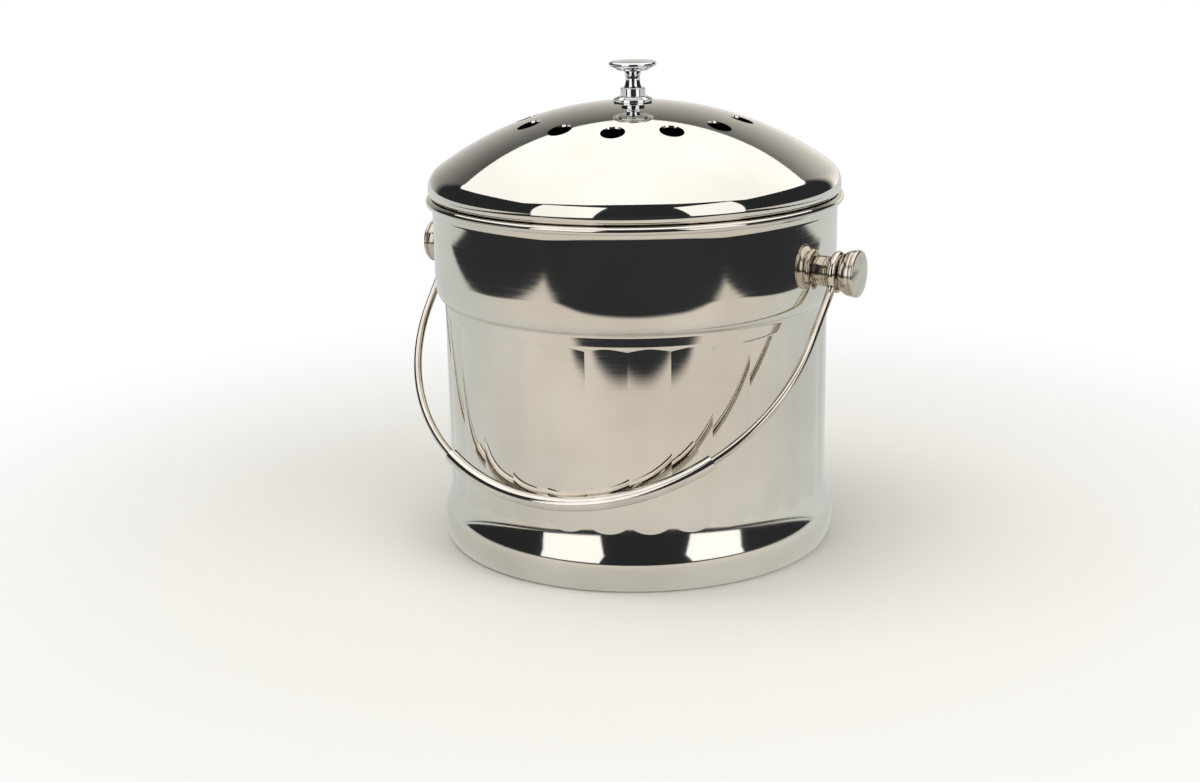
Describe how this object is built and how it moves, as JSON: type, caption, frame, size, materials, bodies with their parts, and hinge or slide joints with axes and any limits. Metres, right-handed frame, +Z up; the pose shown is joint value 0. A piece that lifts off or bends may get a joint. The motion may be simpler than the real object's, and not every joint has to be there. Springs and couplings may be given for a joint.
{
  "type": "compost caddy",
  "caption": "Fluted steel kitchen pail with a vented lift-off dome lid, a filter held under the lid, a wire bail on side posts and a loose tube grip.",
  "frame": {"origin": "centre of the flat base, on the surface that the pail stands on", "axes": "+Z up through the knob, X along the axis of the bail's two posts, -Y towards the side on which the bail hangs"},
  "size_m": [0.2144, 0.1856, 0.2145],
  "materials": {
    "polished_steel": "polished stainless sheet with faint round brushing",
    "lid_steel": "mirror polished stainless sheet",
    "collar_steel": "plain stainless strip",
    "knob_chrome": "turned and polished",
    "screw_steel": "zinc plated",
    "carbon_felt": "charcoal felt",
    "holder_plastic": "moulded",
    "nickel_wire": "nickel plated wire",
    "grip_steel": "polished tube",
    "nickel_post": "turned and nickel plated",
    "seal_rubber": "moulded silicone"
  },
  "bodies": {
    "pail": {"pail_shell": "polished_steel", "post_right": "nickel_post", "spacer_right": "nickel_post", "post_screw_right": "screw_steel", "post_washer_right": "screw_steel", "post_seal_right": "seal_rubber", "post_left": "nickel_post", "spacer_left": "nickel_post", "post_screw_left": "screw_steel", "post_washer_left": "screw_steel", "post_seal_left": "seal_rubber"},
    "lid": {"lid_shell": "lid_steel", "lid_collar": "collar_steel", "lid_knob": "knob_chrome", "knob_washer": "knob_chrome", "knob_screw": "screw_steel"},
    "filter_unit": {"carbon_filter": "carbon_felt", "filter_holder": "holder_plastic"},
    "bail": {"bail_wire": "nickel_wire"},
    "grip": {"grip_sleeve": "grip_steel"}
  },
  "joints": [
    {"name": "lid_lift", "type": "slide", "parent": "pail", "child": "lid", "axis": [0, 0, 1], "range_m": [0, 0.12]},
    {"name": "filter_release", "type": "slide", "parent": "lid", "child": "filter_unit", "axis": [0, 0, -1], "range_m": [0, 0.01]},
    {"name": "bail_swing", "type": "hinge", "parent": "pail", "child": "bail", "pos_m": [0, 0, 0.1275], "axis": [-1, 0, 0], "range_deg": [0, 269]},
    {"name": "grip_slide", "type": "hinge", "parent": "bail", "child": "grip", "pos_m": [0, -0.02235, 0.10522], "axis": [0, -0.7059, 0.7083], "range_deg": [-53, 40]}
  ]
}
